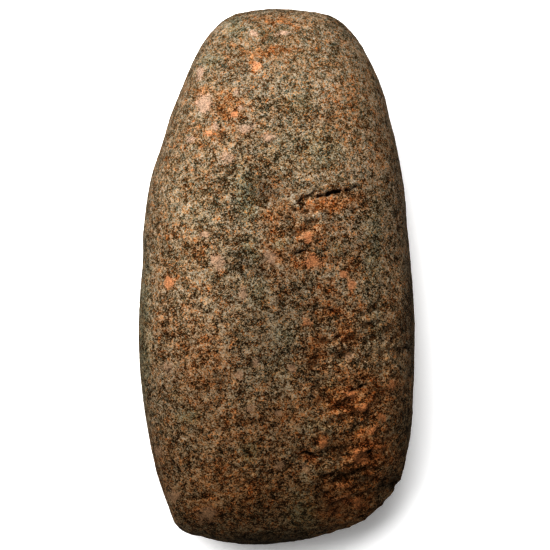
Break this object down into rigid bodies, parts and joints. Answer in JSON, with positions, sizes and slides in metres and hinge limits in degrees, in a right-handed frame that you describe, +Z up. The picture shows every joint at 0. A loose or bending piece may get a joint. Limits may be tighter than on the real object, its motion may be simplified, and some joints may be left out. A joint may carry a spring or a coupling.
{
  "type": "polished stone axe head",
  "caption": "Ground and polished granite axe head, oval in section, tapering to a round butt, with a broad slanted cutting edge and old flake scars; lies on a broad face.",
  "frame": {"origin": "under the middle of the head's box, on the surface that it lies on", "axes": "+Y runs along the head from the cutting edge to the butt, +X across it, +Z up out of the upper broad face"},
  "size_m": [0.0824, 0.16, 0.05],
  "materials": {
    "granite": "speckled buff, grey-green and rust-stained granite, ground and polished, weathered to a dull satin, with rough unpolished scars"
  },
  "bodies": {
    "root": {"axe_head": "granite"}
  },
  "joints": []
}
